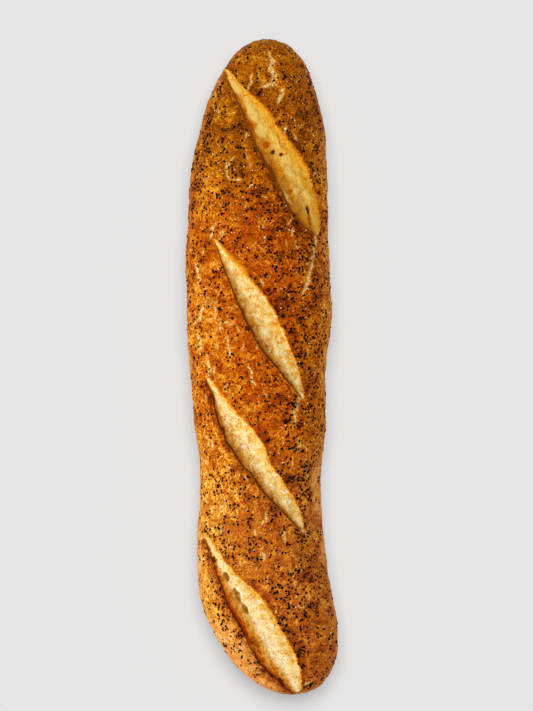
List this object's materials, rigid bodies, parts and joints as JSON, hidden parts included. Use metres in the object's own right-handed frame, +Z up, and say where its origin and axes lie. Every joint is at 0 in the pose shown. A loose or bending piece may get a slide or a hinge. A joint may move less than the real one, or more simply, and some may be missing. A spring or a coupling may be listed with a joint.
{
  "type": "baguette",
  "caption": "Short baguette with slanting scores that show pale crumb, a golden brown crust sprinkled with poppy seeds, and a flat underside to rest on.",
  "frame": {"origin": "on the surface that the loaf rests on, under the middle of its bounding box", "axes": "+Z up; +Y along the loaf, towards the end where the first score starts; +X to the side on which the scores' crumb spreads"},
  "size_m": [0.0753, 0.328, 0.0488],
  "materials": {
    "crust": "baked crust, mottled golden brown, dull with a slight gloss on the shoulders, and pale crumb inside the scores",
    "poppy_seed": "small black poppy seeds with a slight gloss",
    "pale_seed": "small pale seeds and grains with a slight gloss"
  },
  "bodies": {
    "root": {"loaf": "crust"}
  },
  "joints": []
}
